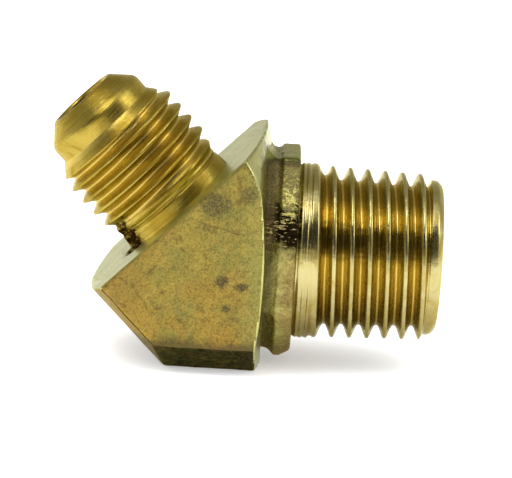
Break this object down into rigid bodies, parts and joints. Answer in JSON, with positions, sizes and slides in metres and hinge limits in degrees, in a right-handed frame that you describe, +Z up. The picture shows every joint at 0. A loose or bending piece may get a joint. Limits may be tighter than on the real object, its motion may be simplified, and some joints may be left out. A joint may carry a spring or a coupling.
{
  "type": "45 degree flare to pipe thread elbow fitting",
  "caption": "Forged brass 45 degree male elbow joining a flared tube to a female pipe port, with flats for a wrench.",
  "frame": {"origin": "on the bottom flat, straight below the point where the flare and pipe bore axes cross", "axes": "+X out of the pipe end along its axis, +Z up from the bottom flat, -Y out of the front wrench flat; the flare end points along (-1, 0, 1)"},
  "size_m": [0.0314, 0.015, 0.0224],
  "materials": {
    "forged_brass": "satin forged brass, mottled brown and gold, with fine pits and handling marks",
    "turned_brass": "bright turned brass with fine lathe rings, deep gold",
    "oxidised_brass": "rough forging skin, dark olive and brown oxide",
    "bright_brass": "bright turned brass, pale gold crests over amber roots"
  },
  "bodies": {
    "root": {"elbow_body": "forged_brass", "flare_nipple": "turned_brass", "neck_collar": "oxidised_brass", "pipe_nipple": "bright_brass"}
  },
  "joints": []
}
